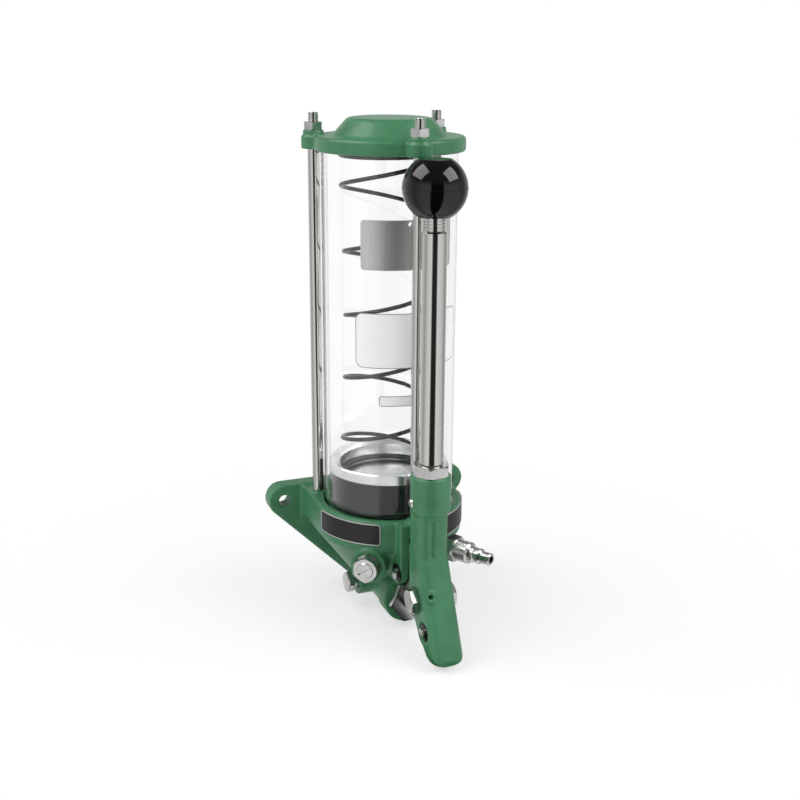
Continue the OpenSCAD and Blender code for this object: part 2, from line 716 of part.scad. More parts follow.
module handle_lock_nut() {
    color(steel_grey) at_axis() translate([0, -handle_y, socket_top]) difference() {
        rotate([0, 0, lock_nut_turn]) turned_hexagon(lock_nut_af, lock_nut_h, 1);
        translate([0, 0, -1]) cylinder(r = thread_r, h = lock_nut_h + 2);
    }
}

module socket_pin() {
    color(steel_grey) at_axis() pivot(handle_y, -socket_pin_z) {
        cross_bar(socket_pin_d / 2, socket_r + 0.2);
        for (side = [0, 1]) mirror([0, 0, side])
            translate([0, 0, socket_r]) cylinder(r1 = 3, r2 = 2, h = 1.2);
    }
}

// A flat bar with two round eyes, between the body's clevis and the lever's fulcrum
module fulcrum_link() {
    near = [-link_pin_y, -link_pin_drop];
    far = [-fulcrum_y, -fulcrum_drop];
    low = touch_dir(far, near, fulcrum_eye_r, link_eye_r);
    v = (near - far) / norm(near - far);
    high = 2 * (low * v) * v - low;
    color("#8a8d90") at_axis() rotate([90, 0, 90]) translate([0, 0, -link_w / 2]) linear_extrude(link_w)
        difference() {
            union() {
                translate(near) circle(r = link_eye_r);
                translate(far) circle(r = fulcrum_eye_r);
                polygon([far + fulcrum_eye_r * low, near + link_eye_r * low,
                    near + link_eye_r * high, far + fulcrum_eye_r * high]);
            }
            translate(near) circle(r = link_pin_d / 2 + pin_gap);
            translate(far) circle(r = fulcrum_d / 2 + pin_gap);
        }
}

module fulcrum_bolt() {
    color(steel_grey) at_axis() pivot(fulcrum_y, fulcrum_drop) {
        translate([0, 0, -spot_x - bolt_head_h]) rotate([0, 0, 15]) turned_hexagon(bolt_af, bolt_head_h, 0.7);
        translate([0, 0, -spot_x - 1]) cylinder(d = fulcrum_d, h = 2 * spot_x + 1 + 7);
    }
}

module fulcrum_nut() {
    color(steel_grey) at_axis() pivot(fulcrum_y, fulcrum_drop) translate([0, 0, spot_x]) difference() {
        turned_hexagon(bolt_af, bolt_head_h, 0.7);
        translate([0, 0, -1]) cylinder(d = fulcrum_d, h = bolt_head_h + 2);
    }
}

// A pin with a groove near each end for its clip
module grooved_pin(r, half, clip_x) {
    difference() {
        cross_bar(r, half);
        for (side = [0, 1]) mirror([0, 0, side]) translate([0, 0, clip_x]) ring(r + 1, r - 0.7, clip_t);
    }
}

// A pair of open E-clips
module clips(r, clip_x) {
    for (side = [0, 1]) mirror([0, 0, side]) translate([0, 0, clip_x]) difference() {
        cylinder(r = r + 2.4, h = clip_t);
        translate([0, 0, -1]) cylinder(r = r - 0.7, h = clip_t + 2);
        translate([0, -r * 0.6, -1]) cube([r + 5, r * 1.2, clip_t + 2]);
    }
}

module link_pin() {
    color(steel_grey) at_axis() pivot(link_pin_y, link_pin_drop)
        grooved_pin(link_pin_d / 2, clevis_half + 2.4, clevis_half);
}

module link_pin_clips() {
    color(black_rubber) at_axis() pivot(link_pin_y, link_pin_drop) clips(link_pin_d / 2, clevis_half);
}

module plunger() {
    eye_half = link_w / 2 - 0.35;
    play_shift = eye_play_z - eye_play_y;
    color(steel_grey) at_axis() difference() {
        union() {
            pivot(plunger_pin_y, plunger_drop) cross_bar(plunger_eye_r, eye_half);
            translate([0, -gland_face_y + plunger_in, -plunger_drop]) rotate([90, 0, 0])
                cylinder(d = plunger_d, h = plunger_pin_y - gland_face_y + plunger_in - 5.5);
        }
        for (s = [-1, 1])
            pivot(plunger_pin_y, plunger_drop - s * play_shift)
                cross_bar(plunger_pin_d / 2 + eye_play_y, link_w);
        translate([-link_w, -plunger_pin_y - plunger_pin_d / 2 - eye_play_y, -plunger_drop - play_shift])
            cube([2 * link_w, plunger_pin_d + 2 * eye_play_y, 2 * play_shift]);
    }
}

module plunger_pin() {
    color(steel_grey) at_axis() pivot(plunger_pin_y, plunger_drop)
        grooved_pin(plunger_pin_d / 2, spot_x + 3, spot_x);
}

module plunger_pin_clips() {
    color(black_rubber) at_axis() pivot(plunger_pin_y, plunger_drop) clips(plunger_pin_d / 2, spot_x);
}

module gland_nut() {
    color(steel_grey) at_axis() translate([0, -gland_face_y, -plunger_drop]) rotate([90, 0, 0]) difference() {
        union() {
            rotate([0, 0, 6.6]) turned_hexagon(gland_af, gland_hex_t, 0.9);
            translate([0, 0, -gland_spigot]) cylinder(r = gland_thread_r, h = gland_spigot + 1);
        }
        translate([0, 0, -gland_spigot - 1])
            cylinder(r = plunger_d / 2 + pin_gap, h = gland_spigot + gland_hex_t + 2);
    }
}

module plunger_packing() {
    color(black_rubber) at_axis() translate([0, -gland_face_y + gland_spigot + packing_l, -plunger_drop])
        rotate([90, 0, 0]) ring(gland_thread_r, plunger_d / 2 + pin_gap, packing_l);
}

module relief_valve_body() {
    color(steel_grey) at_axis() radial(-relief_az, relief_drop) translate([0, 0, relief_face_r])
        difference() {
            union() {
                translate([0, 0, -relief_thread_l]) cylinder(r = relief_thread_r, h = relief_thread_l + 1);
                cylinder(r = relief_collar_r, h = relief_collar_t);
                translate([0, 0, relief_collar_t]) rotate([0, 0, 30])
                    turned_hexagon(relief_af, relief_hex_h, 0.6);
            }
            translate([0, 0, -0.5]) cylinder(r = relief_screw_r, h = relief_collar_t + relief_hex_h + 2);
            translate([0, 0, -relief_thread_l - 1]) cylinder(r = relief_bore_r, h = relief_thread_l + 2);
        }
}

module relief_screw() {
    length = relief_collar_t + relief_hex_h + 0.5;
    slot_t = 1.2;
    color(steel_grey) at_axis() radial(-relief_az, relief_drop) translate([0, 0, relief_face_r - 0.5])
        difference() {
            union() {
                cylinder(r = relief_screw_r, h = length);
                translate([0, 0, length]) cylinder(r1 = relief_screw_r, r2 = relief_screw_r - 0.4, h = 0.4);
            }
            rotate([0, 0, 33]) translate([-relief_af / 2, -slot_t / 2, length - 1.1])
                cube([relief_af, slot_t, 3]);
        }
}

module relief_ball() {
    color(steel_grey) at_axis() radial(-relief_az, relief_drop)
        translate([0, 0, relief_ball_x]) sphere(r = relief_ball_r, $fn = 32);
}

module relief_spring() {
    from = relief_ball_x + relief_ball_r - 0.1;
    color("#8a8d90") at_axis() radial(-relief_az, relief_drop) translate([0, 0, from])
        coil(2.6, 2.6, 0.8, relief_face_r - 0.5 - from, 12, 6);
}

module discharge_ball() {
    color(steel_grey) at_axis() pivot(-discharge_y, discharge_drop) translate([0, 0, check_ball_x])
        sphere(r = check_ball_r, $fn = 32);
}

module discharge_spring() {
    from = check_ball_x + check_ball_r - 0.1;
    color("#8a8d90") at_axis() pivot(-discharge_y, discharge_drop) translate([0, 0, from])
        coil(2, 3, 0.8, outlet_reach - outlet_l - retainer_t - from, 12, 6);
}

module discharge_retainer() {
    color(steel_grey) at_axis() pivot(-discharge_y, discharge_drop)
        translate([0, 0, outlet_reach - outlet_l - retainer_t]) ring(check_chamber_r, 2.2, retainer_t);
}

module side_plug() {
    color(steel_grey) at_axis() pivot(-discharge_y, discharge_drop) mirror([0, 0, 1]) {
        head = plug_boss_x + plug_neck_l;
        translate([0, 0, plug_boss_x - 8]) cylinder(r = plug_thread_r, h = 9.5);
        translate([0, 0, plug_boss_x]) cylinder(r = 4.4, h = plug_neck_l + 1);
        translate([0, 0, head - 0.8]) cylinder(r1 = plug_head_r - 0.6, r2 = plug_head_r, h = 0.8);
        translate([0, 0, head]) cylinder(r = plug_head_r, h = plug_head_l);
        translate([0, 0, head + plug_head_l]) cylinder(r1 = plug_head_r, r2 = plug_head_r - 0.8, h = 0.8);
    }
}

// A quick-connect nipple: hexagon, collar, two locking rings and a tip
module fill_nipple() {
    collar_z = fill_hex_h + fill_collar_l;
    groove_r = fill_tip_r + 0.2;
    ring_r = fill_tip_r + 1.1;
    tip_z = collar_z + 10.5;
    end_z = tip_z + fill_tip_l;
    color(steel_grey) at_axis() radial(fill_az, fill_drop) translate([0, 0, fill_face_r]) difference() {
        union() {
            translate([0, 0, -fill_thread_l]) cylinder(r = fill_thread_r, h = fill_thread_l + 0.5);
            turned_hexagon(fill_af, fill_hex_h, 0.8);
            rotate_extrude()
                polygon([[0, fill_hex_h - 1], [fill_collar_r, fill_hex_h - 1], [fill_collar_r, collar_z],
                    [fill_collar_r - 1.4, collar_z + 1.2], [groove_r, collar_z + 1.2],
                    [groove_r, collar_z + 2], [ring_r, collar_z + 2.6], [ring_r, collar_z + 4.6],
                    [groove_r, collar_z + 5.2], [groove_r, collar_z + 6.8], [ring_r, collar_z + 7.4],
                    [ring_r, collar_z + 9], [fill_tip_r, tip_z], [fill_tip_r, end_z],
                    [fill_tip_r - 0.7, end_z + 0.7], [0, end_z + 0.7]]);
        }
        translate([0, 0, -fill_thread_l - 1]) cylinder(r = fill_bore_r, h = 2 * end_z);
    }
}

// A thin plate bent round the body's skirt; side is -1 on the left, 1 on the right
module nameplate(side) {
    span = badge_to_az - badge_from_az;
    first = side > 0 ? -90 + badge_from_az : -90 - badge_to_az;
    color("#18181a") at_axis() translate([0, 0, -badge_drop - badge_h])
        rotate([0, 0, first]) rotate_extrude(angle = span, $fn = 96)
            translate([body_r, 0]) square([badge_t, badge_h]);
}

module left_nameplate() {
    nameplate(-1);
}

module right_nameplate() {
    nameplate(1);
}

pump_body();
reservoir_tube();
tube_gaskets();
top_cap();
tie_rods();
tie_rod_nuts();
follower_plate();
follower_seal();
follower_spring();
lever();
handle_rod();
ball_knob();
handle_lock_nut();
socket_pin();
fulcrum_link();
fulcrum_bolt();
fulcrum_nut();
link_pin();
link_pin_clips();
plunger();
plunger_pin();
plunger_pin_clips();
gland_nut();
plunger_packing();
relief_valve_body();
relief_screw();
relief_spring();
relief_ball();
discharge_ball();
discharge_spring();
discharge_retainer();
side_plug();
fill_nipple();
left_nameplate();
right_nameplate();
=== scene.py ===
import json
from math import cos, pi, radians, sin

import bmesh
import bpy
from mathutils import Matrix, Vector

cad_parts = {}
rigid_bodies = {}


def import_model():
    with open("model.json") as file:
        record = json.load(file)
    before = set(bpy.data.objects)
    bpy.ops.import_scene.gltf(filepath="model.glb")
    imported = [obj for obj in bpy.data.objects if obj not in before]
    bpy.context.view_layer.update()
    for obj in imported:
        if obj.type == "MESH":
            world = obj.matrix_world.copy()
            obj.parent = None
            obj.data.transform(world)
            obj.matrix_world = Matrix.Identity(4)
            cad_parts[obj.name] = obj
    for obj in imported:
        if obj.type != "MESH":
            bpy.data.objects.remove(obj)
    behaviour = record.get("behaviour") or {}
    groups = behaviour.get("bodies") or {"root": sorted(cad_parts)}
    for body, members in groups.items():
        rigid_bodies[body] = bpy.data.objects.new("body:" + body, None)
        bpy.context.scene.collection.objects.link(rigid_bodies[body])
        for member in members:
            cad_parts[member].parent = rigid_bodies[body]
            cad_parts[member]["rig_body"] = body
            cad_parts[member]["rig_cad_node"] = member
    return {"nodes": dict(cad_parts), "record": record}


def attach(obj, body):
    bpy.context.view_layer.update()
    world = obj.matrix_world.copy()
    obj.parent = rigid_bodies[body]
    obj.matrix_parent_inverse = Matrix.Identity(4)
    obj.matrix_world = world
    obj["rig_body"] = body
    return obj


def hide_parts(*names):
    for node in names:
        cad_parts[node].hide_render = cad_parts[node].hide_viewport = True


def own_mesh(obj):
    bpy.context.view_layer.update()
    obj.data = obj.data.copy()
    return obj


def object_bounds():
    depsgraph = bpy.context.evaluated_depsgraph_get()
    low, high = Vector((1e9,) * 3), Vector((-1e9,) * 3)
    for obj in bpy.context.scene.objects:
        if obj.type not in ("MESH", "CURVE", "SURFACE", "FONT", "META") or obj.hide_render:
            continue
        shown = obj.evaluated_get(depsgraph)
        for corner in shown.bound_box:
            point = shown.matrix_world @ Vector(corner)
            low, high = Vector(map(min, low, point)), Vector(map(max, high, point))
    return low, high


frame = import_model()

cad_low, cad_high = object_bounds()
mm = 0.001

# The view of the photograph: from the operator's left, a little above the knob, with a long lens.
bpy.ops.object.camera_add(
    location=(-284.06 * mm, -779.95 * mm, 319.26 * mm),
    rotation=(radians(72.980), radians(-0.382), radians(-21.783)),
)
camera = bpy.context.object
camera.name = "camera"
camera.data.lens = 53.677
camera.data.sensor_width = 36
camera.data.clip_start = 0.01
camera.data.clip_end = 50
bpy.context.scene.camera = camera
bpy.context.scene.view_settings.view_transform = "Standard"


# The studio: a white room with a pale floor under the pump. Two soft boxes hang over it, high on the
# left and right, a weak one fills from the front, and a dark doorway behind the camera puts the dark
# stripe down the plated rods.
def linear(code):
    """The linear colour of an sRGB hex value."""
    parts = [int(code[i : i + 2], 16) / 255 for i in (1, 3, 5)]
    return [c / 12.92 if c <= 0.04045 else ((c + 0.055) / 1.055) ** 2.4 for c in parts] + [1.0]


def put(tree, kind, inputs=None, **settings):
    """One node with its settings. Inputs are numbers, colours or other nodes' outputs."""
    node = tree.nodes.new(kind)
    for name, value in settings.items():
        setattr(node, name, value)
    for name, value in (inputs or {}).items():
        if isinstance(value, bpy.types.NodeSocket):
            tree.links.new(value, node.inputs[name])
        else:
            node.inputs[name].default_value = value
    return node


def walls_round(tree, x, y):
    """The grey that plated steel mirrors from each side of the room, from a direction's X and Y.

    The ramp runs once round the room, and its two ends meet in the doorway.
    """
    bearing = put(tree, "ShaderNodeMath", {0: x, 1: y}, operation="ARCTAN2")
    share = put(tree, "ShaderNodeMapRange", {"Value": bearing.outputs[0], "From Min": -pi, "From Max": pi})
    walls = put(tree, "ShaderNodeValToRGB", {0: share.outputs[0]})
    ramp = walls.color_ramp
    doorway = 0.02
    ramp.elements[0].color = ramp.elements[1].color = (doorway, doorway, doorway, 1)
    for place, grey in ((0.095, doorway), (0.115, 0.9), (0.2, 0.75), (0.27, 0.42), (0.36, 0.66), (0.5, 0.95),
                        (0.66, 0.66), (0.76, 0.36), (0.84, 0.72), (0.97, 0.9), (0.99, doorway)):
        stop = ramp.elements.new(place)
        stop.color = (grey, grey, grey, 1)
    return walls.outputs[0]


room = bpy.data.worlds.new("studio")
room.use_nodes = True
bpy.context.scene.world = room
tree = room.node_tree
tree.nodes.clear()
rays = put(tree, "ShaderNodeLightPath")
seen = put(tree, "ShaderNodeMath", {0: rays.outputs["Is Camera Ray"],
                                    1: rays.outputs["Is Transmission Ray"]}, operation="MAXIMUM")
direction = put(tree, "ShaderNodeTexCoord")
parts = put(tree, "ShaderNodeSeparateXYZ", {0: direction.outputs["Generated"]})
walls = walls_round(tree, parts.outputs["X"], parts.outputs["Y"])
height = put(tree, "ShaderNodeMapRange", {"Value": parts.outputs["Z"], "From Min": 0.2, "From Max": 0.5})
ceiling = (0.14, 0.14, 0.14, 1)
factor, colour_a, colour_b = 0, 6, 7
mirrored = put(tree, "ShaderNodeMix", {factor: height.outputs[0], colour_a: walls, colour_b: ceiling},
               data_type="RGBA")
plain = put(tree, "ShaderNodeBackground", {"Color": (1, 1, 1, 1), "Strength": 0.36})
glossy = put(tree, "ShaderNodeBackground", {"Color": mirrored.outputs[2], "Strength": 1.0})
white = put(tree, "ShaderNodeBackground", {"Color": (1, 1, 1, 1), "Strength": 1.0})
lit = put(tree, "ShaderNodeMixShader", {0: rays.outputs["Is Glossy Ray"], 1: plain.outputs[0],
                                        2: glossy.outputs[0]})
shown = put(tree, "ShaderNodeMixShader", {0: seen.outputs[0], 1: lit.outputs[0], 2: white.outputs[0]})
put(tree, "ShaderNodeOutputWorld", {"Surface": shown.outputs[0]})

middle = Vector((0, -0.07, 0.1))
for name, place, size, power in (
    ("left_box", (-0.85, 0.12, 1.2), (1.15, 0.85), 12),
    ("right_box", (0.78, -0.7, 1.08), (1.0, 0.8), 11),
    ("front_fill", (-1.0, -1.4, 0.9), (1.0, 0.5), 4),
):
    bpy.ops.object.light_add(type="AREA", location=place)
    lamp = bpy.context.object
    lamp.name = name
    lamp.data.shape = "RECTANGLE"
    lamp.data.size, lamp.data.size_y = size
    lamp.data.energy = power
    lamp.visible_camera = False
    aim = middle - Vector(place)
    lamp.rotation_euler = aim.to_track_quat("-Z", "Y").to_euler()
bpy.data.objects["front_fill"].visible_glossy = False

floor_z = cad_low.z - 0.5 * mm
bpy.ops.mesh.primitive_circle_add(vertices=96, radius=2.5, fill_type="NGON",
                                  location=(middle.x, middle.y, floor_z))
floor = bpy.context.object
floor.name = "floor"

# White paper: matt under the pump, where it takes the shadow, and plain white to the camera further out.
# What is plated or polished mirrors the walls in it, as it does in the room above.
paper = bpy.data.materials.new("white paper")
paper.use_nodes = True
tree = paper.node_tree
tree.nodes.clear()
rays = put(tree, "ShaderNodeLightPath")
spot = put(tree, "ShaderNodeTexCoord")
far = put(tree, "ShaderNodeVectorMath", {0: spot.outputs["Object"]}, operation="LENGTH")
fade = put(tree, "ShaderNodeMapRange", {"Value": far.outputs["Value"], "From Min": 0.1, "From Max": 0.36,
                                        "To Min": 0.62}, interpolation_type="SMOOTHSTEP")
seen = put(tree, "ShaderNodeMath", {0: rays.outputs["Is Camera Ray"],
                                    1: rays.outputs["Is Transmission Ray"]}, operation="MAXIMUM")
share = put(tree, "ShaderNodeMath", {0: fade.outputs[0], 1: seen.outputs[0]}, operation="MULTIPLY")
matt = put(tree, "ShaderNodeBsdfDiffuse", {"Color": (0.93, 0.93, 0.93, 1)})
bright = put(tree, "ShaderNodeEmission", {"Color": (1, 1, 1, 1), "Strength": 1.0})
blend = put(tree, "ShaderNodeMixShader", {0: share.outputs[0], 1: matt.outputs[0], 2: bright.outputs[0]})
parts = put(tree, "ShaderNodeSeparateXYZ", {0: spot.outputs["Object"]})
walls = walls_round(tree, parts.outputs["X"], parts.outputs["Y"])
mirrored = put(tree, "ShaderNodeEmission", {"Color": walls, "Strength": 1.0})
reflected = put(tree, "ShaderNodeMath", {0: rays.outputs["Is Glossy Ray"],
                                         1: rays.outputs["Is Transmission Ray"]},
                operation="SUBTRACT", use_clamp=True)
gloss = put(tree, "ShaderNodeMixShader", {0: reflected.outputs[0], 1: blend.outputs[0],
                                          2: mirrored.outputs[0]})
put(tree, "ShaderNodeOutputMaterial", {"Surface": gloss.outputs[0]})
floor.data.materials.append(paper)


# The pump body: one grey-iron sand casting with the reservoir seat, the wall plate and its two ears,
# the clevis, the pump barrel and the bosses, sprayed with green enamel over its cast skin.
nodes = frame["nodes"]
body_of = {n: b for b, group in frame["record"]["behaviour"]["bodies"].items() for n in group}


def deselect():
    """Leaves nothing selected, so that the next operator acts on its own piece alone."""
    bpy.ops.object.select_all(action="DESELECT")


def material(name, colour, roughness, metallic=0.0):
    """A material with one Principled shader, and the colour, roughness and metal that it starts from."""
    made = bpy.data.materials.new(name)
    made.use_nodes = True
    shader = made.node_tree.nodes["Principled BSDF"]
    shader.inputs["Base Color"].default_value = linear(colour)
    shader.inputs["Roughness"].default_value = roughness
    shader.inputs["Metallic"].default_value = metallic
    return made, made.node_tree, shader


def paint(piece, *finishes):
    """Gives a piece its finishes; a piece that has none yet keeps the finish number of each face."""
    if piece.data.materials:
        piece.data.materials.clear()
    for finish in finishes:
        piece.data.materials.append(finish)


def apply_all(piece):
    """Applies a piece's modifiers in their order."""
    deselect()
    bpy.context.view_layer.objects.active = piece
    piece.select_set(True)
    for modifier in list(piece.modifiers):
        bpy.ops.object.modifier_apply(modifier=modifier.name)


weld = 0.002 * mm


def cast(node, name, voxel, passes):
    """A copy of a node with the soft edges and fillets that a sand mould gives."""
    deselect()
    nodes[node].select_set(True)
    bpy.context.view_layer.objects.active = nodes[node]
    bpy.ops.object.duplicate()
    piece = bpy.context.object
    piece.name = name
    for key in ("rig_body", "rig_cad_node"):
        del piece[key]
    piece.parent = None
    bpy.ops.object.mode_set(mode="EDIT")
    bpy.ops.mesh.select_all(action="SELECT")
    bpy.ops.mesh.remove_doubles(threshold=weld)
    bpy.ops.object.mode_set(mode="OBJECT")
    skin = piece.modifiers.new("skin", "REMESH")
    skin.mode = "VOXEL"
    skin.voxel_size = voxel * mm
    soften = piece.modifiers.new("soften", "SMOOTH")
    soften.factor = 0.5
    soften.iterations = passes
    apply_all(piece)
    bpy.ops.object.shade_smooth()
    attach(piece, body_of[node])
    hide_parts(node)
    return piece


# Enamel on sand-cast iron: a half-glossy green skin that follows the sand's grain, drawn 1.2 mm coarse
# so that it shows, and the slow waves of the mould. Its tone drifts a little over 14 mm.
enamel, tree, shader = material("green enamel on cast iron", "#3c7853", 0.4)
where = put(tree, "ShaderNodeTexCoord").outputs["Object"]
cloud = put(tree, "ShaderNodeTexNoise", {"Vector": where, "Scale": 1 / (14 * mm), "Detail": 3})
tone = put(tree, "ShaderNodeValToRGB", {0: cloud.outputs["Fac"]})
tone.color_ramp.elements[0].position = 0.35
tone.color_ramp.elements[0].color = linear("#39744f")
tone.color_ramp.elements[1].position = 0.68
tone.color_ramp.elements[1].color = linear("#408058")
tree.links.new(tone.outputs[0], shader.inputs["Base Color"])
sheen = put(tree, "ShaderNodeMapRange", {"Value": cloud.outputs["Fac"], "To Min": 0.34, "To Max": 0.5})
tree.links.new(sheen.outputs[0], shader.inputs["Roughness"])
grain = put(tree, "ShaderNodeTexNoise", {"Vector": where, "Scale": 1 / (1.2 * mm), "Detail": 4})
wave = put(tree, "ShaderNodeTexNoise", {"Vector": where, "Scale": 1 / (6 * mm), "Detail": 2})
rough = put(tree, "ShaderNodeBump", {"Height": grain.outputs["Fac"], "Strength": 0.5, "Distance": 0.25 * mm})
skin = put(tree, "ShaderNodeBump", {"Height": wave.outputs["Fac"], "Strength": 0.5, "Distance": 0.7 * mm,
                                    "Normal": rough.outputs[0]})
tree.links.new(skin.outputs[0], shader.inputs["Normal"])
shader.inputs["Coat Weight"].default_value = 0.14
shader.inputs["Coat Roughness"].default_value = 0.22

body_casting = cast("pump_body", "body_casting", voxel=0.9, passes=3)
paint(body_casting, enamel)


# The two nameplates: thin aluminium, printed black with a bare border, bent round the body's skirt and
# pinned to it. They carry no words here, only the border and an empty panel.
axis_y = -52.5


def wrapped(name, radius, azimuths, heights, corner, thickness, border):
    """A thin round-cornered plate bent about the reservoir's axis, with a border as its second finish.

    The azimuths are degrees from the front, towards the right.
    """
    low, high = (radians(a) * radius * mm for a in azimuths)
    foot, top = (h * mm for h in heights)
    deselect()
    bpy.ops.mesh.primitive_plane_add(size=1)
    piece = bpy.context.object
    piece.name = name
    for v in piece.data.vertices:
        v.co = Vector((low if v.co.x < 0 else high, foot if v.co.y < 0 else top, 0))
    bpy.ops.object.mode_set(mode="EDIT")
    bpy.ops.mesh.select_all(action="SELECT")
    bpy.ops.mesh.bevel(offset=corner * mm, segments=5, affect="VERTICES")
    bpy.ops.mesh.select_all(action="SELECT")
    bpy.ops.mesh.inset(thickness=border * mm, depth=0)
    bpy.ops.object.mode_set(mode="OBJECT")
    for face in piece.data.polygons:
        face.material_index = 0 if face.select else 1
    bpy.ops.object.mode_set(mode="EDIT")
    bends = 36
    for i in range(1, bends):
        bpy.ops.mesh.select_all(action="SELECT")
        bpy.ops.mesh.bisect(plane_co=(low + (high - low) * i / bends, 0, 0), plane_no=(1, 0, 0))
    bpy.ops.object.mode_set(mode="OBJECT")
    for v in piece.data.vertices:
        angle = v.co.x / (radius * mm)
        v.co = Vector((radius * mm * sin(angle), axis_y * mm - radius * mm * cos(angle), v.co.y))
    wall = piece.modifiers.new("sheet", "SOLIDIFY")
    wall.thickness = thickness * mm
    wall.offset = 1
    apply_all(piece)
    bpy.ops.object.mode_set(mode="EDIT")
    bpy.ops.mesh.select_all(action="SELECT")
    bpy.ops.mesh.normals_make_consistent(inside=False)
    bpy.ops.object.mode_set(mode="OBJECT")
    bpy.ops.object.shade_smooth_by_angle(angle=radians(30))
    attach(piece, "body")
    return piece


# Screen-printed black on aluminium: an even satin black with the faint pull of the squeegee.
plate_black, tree, shader = material("black printed plate", "#141415", 0.4)
where = put(tree, "ShaderNodeTexCoord").outputs["Object"]
pull = put(tree, "ShaderNodeTexNoise", {"Vector": where, "Scale": 1 / (2.5 * mm), "Detail": 3})
ink = put(tree, "ShaderNodeMapRange", {"Value": pull.outputs["Fac"], "To Min": 0.3, "To Max": 0.5})
tree.links.new(ink.outputs[0], shader.inputs["Roughness"])

# Rolled aluminium: a pale metal with fine upright rolling lines that stretch the light.
sheet_metal, tree, shader = material("rolled aluminium sheet", "#c6c8c9", 0.48, 1.0)
where = put(tree, "ShaderNodeTexCoord").outputs["Object"]
drawn = put(tree, "ShaderNodeMapping", {"Vector": where, "Scale": (1.0, 1.0, 0.02)})
lines = put(tree, "ShaderNodeTexNoise", {"Vector": drawn.outputs[0], "Scale": 1 / (0.5 * mm), "Detail": 3})
tone = put(tree, "ShaderNodeValToRGB", {0: lines.outputs["Fac"]})
tone.color_ramp.elements[0].color = linear("#cfd0cf")
tone.color_ramp.elements[1].color = linear("#f4f4f3")
tree.links.new(tone.outputs[0], shader.inputs["Base Color"])
scratch = put(tree, "ShaderNodeBump", {"Height": lines.outputs["Fac"], "Strength": 0.15,
                                       "Distance": 0.05 * mm})
tree.links.new(scratch.outputs[0], shader.inputs["Normal"])

skirt_r, plate_heights = 50.8, (-5.7, 9.3)
for node, name, azimuths in (("left_nameplate", "left_black_plate", (-84, -27)),
                             ("right_nameplate", "right_black_plate", (27, 84))):
    plate = wrapped(name, skirt_r, azimuths, plate_heights, corner=2.0, thickness=0.8, border=0.6)
    paint(plate, plate_black, sheet_metal)
    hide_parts(node)


# The reservoir: a length of cast acrylic tube, sawn and turned square at both ends, with one drilled
# vent hole. Its gaskets are flat rings of nitrile rubber.

# Cast acrylic: clear as water, with bright lines where its wall is seen edge on. It throws no shadow and
# lets the room's light through to what is inside.
acrylic, tree, shader = material("cast acrylic", "#ffffff", 0.02)
shader.inputs["Transmission Weight"].default_value = 1.0
shader.inputs["IOR"].default_value = 1.49
rays = put(tree, "ShaderNodeLightPath")
unlit = put(tree, "ShaderNodeMath", {0: rays.outputs["Is Shadow Ray"],
                                     1: rays.outputs["Is Diffuse Ray"]}, operation="MAXIMUM")
through = put(tree, "ShaderNodeBsdfTransparent", {"Color": (0.99, 0.995, 0.995, 1)})
clear = put(tree, "ShaderNodeMixShader", {0: unlit.outputs[0], 1: shader.outputs[0], 2: through.outputs[0]})
tree.links.new(clear.outputs[0], tree.nodes["Material Output"].inputs["Surface"])
paint(nodes["reservoir_tube"], acrylic)

# Nitrile rubber: a dull black with a faint bloom that comes and goes over 5 mm.
rubber, tree, shader = material("moulded nitrile rubber", "#070708", 0.55)
shader.inputs["Specular IOR Level"].default_value = 0.3
where = put(tree, "ShaderNodeTexCoord").outputs["Object"]
bloom = put(tree, "ShaderNodeTexNoise", {"Vector": where, "Scale": 1 / (5 * mm), "Detail": 3})
dull = put(tree, "ShaderNodeMapRange", {"Value": bloom.outputs["Fac"], "To Min": 0.45, "To Max": 0.65})
tree.links.new(dull.outputs[0], shader.inputs["Roughness"])
paint(nodes["tube_gaskets"], rubber)


# What is fixed to the tube: a brushed metal band under the cap with a hole over the vent, and two bare
# stickers with a thin grey outline. The band is rolled sheet, the stickers are white vinyl.
tube_skin = 44.5
vent_band = wrapped("vent_band", tube_skin, (-45, 38), (178.2, 209.6), corner=2.4, thickness=0.4,
                    border=0.5)
paint(vent_band, sheet_metal, sheet_metal)
vent_r, vent_azimuth, vent_z = 1.6, -4, 207
deselect()
bpy.ops.mesh.primitive_cylinder_add(vertices=32, radius=vent_r * mm, depth=6 * mm,
                                    rotation=(radians(90), 0, 0))
drill = bpy.context.object
turn = Matrix.Rotation(radians(vent_azimuth), 4, "Z")
outward = Matrix.Translation((0, -tube_skin * mm, 0))
place = Matrix.Translation((0, axis_y * mm, vent_z * mm)) @ turn @ outward
drill.data.transform(place @ drill.matrix_basis)
drill.matrix_basis = Matrix.Identity(4)
hole = vent_band.modifiers.new("vent hole", "BOOLEAN")
hole.object = drill
hole.operation = "DIFFERENCE"
apply_all(vent_band)
bpy.data.objects.remove(drill)

# White vinyl: a bright, slightly glossy film, printed with a thin grey outline.
vinyl, tree, shader = material("white vinyl sticker", "#f1f2f3", 0.35)
where = put(tree, "ShaderNodeTexCoord").outputs["Object"]
film = put(tree, "ShaderNodeTexNoise", {"Vector": where, "Scale": 1 / (8 * mm), "Detail": 2})
tone = put(tree, "ShaderNodeValToRGB", {0: film.outputs["Fac"]})
tone.color_ramp.elements[0].color = linear("#f7f8f9")
tone.color_ramp.elements[1].color = linear("#fdfdfd")
tree.links.new(tone.outputs[0], shader.inputs["Base Color"])
outline, tree, shader = material("grey outline of the sticker", "#8c979f", 0.4)
where = put(tree, "ShaderNodeTexCoord").outputs["Object"]
film = put(tree, "ShaderNodeTexNoise", {"Vector": where, "Scale": 1 / (3 * mm), "Detail": 2})
tone = put(tree, "ShaderNodeValToRGB", {0: film.outputs["Fac"]})
tone.color_ramp.elements[0].color = linear("#7f8b94")
tone.color_ramp.elements[1].color = linear("#9aa4ab")
tree.links.new(tone.outputs[0], shader.inputs["Base Color"])
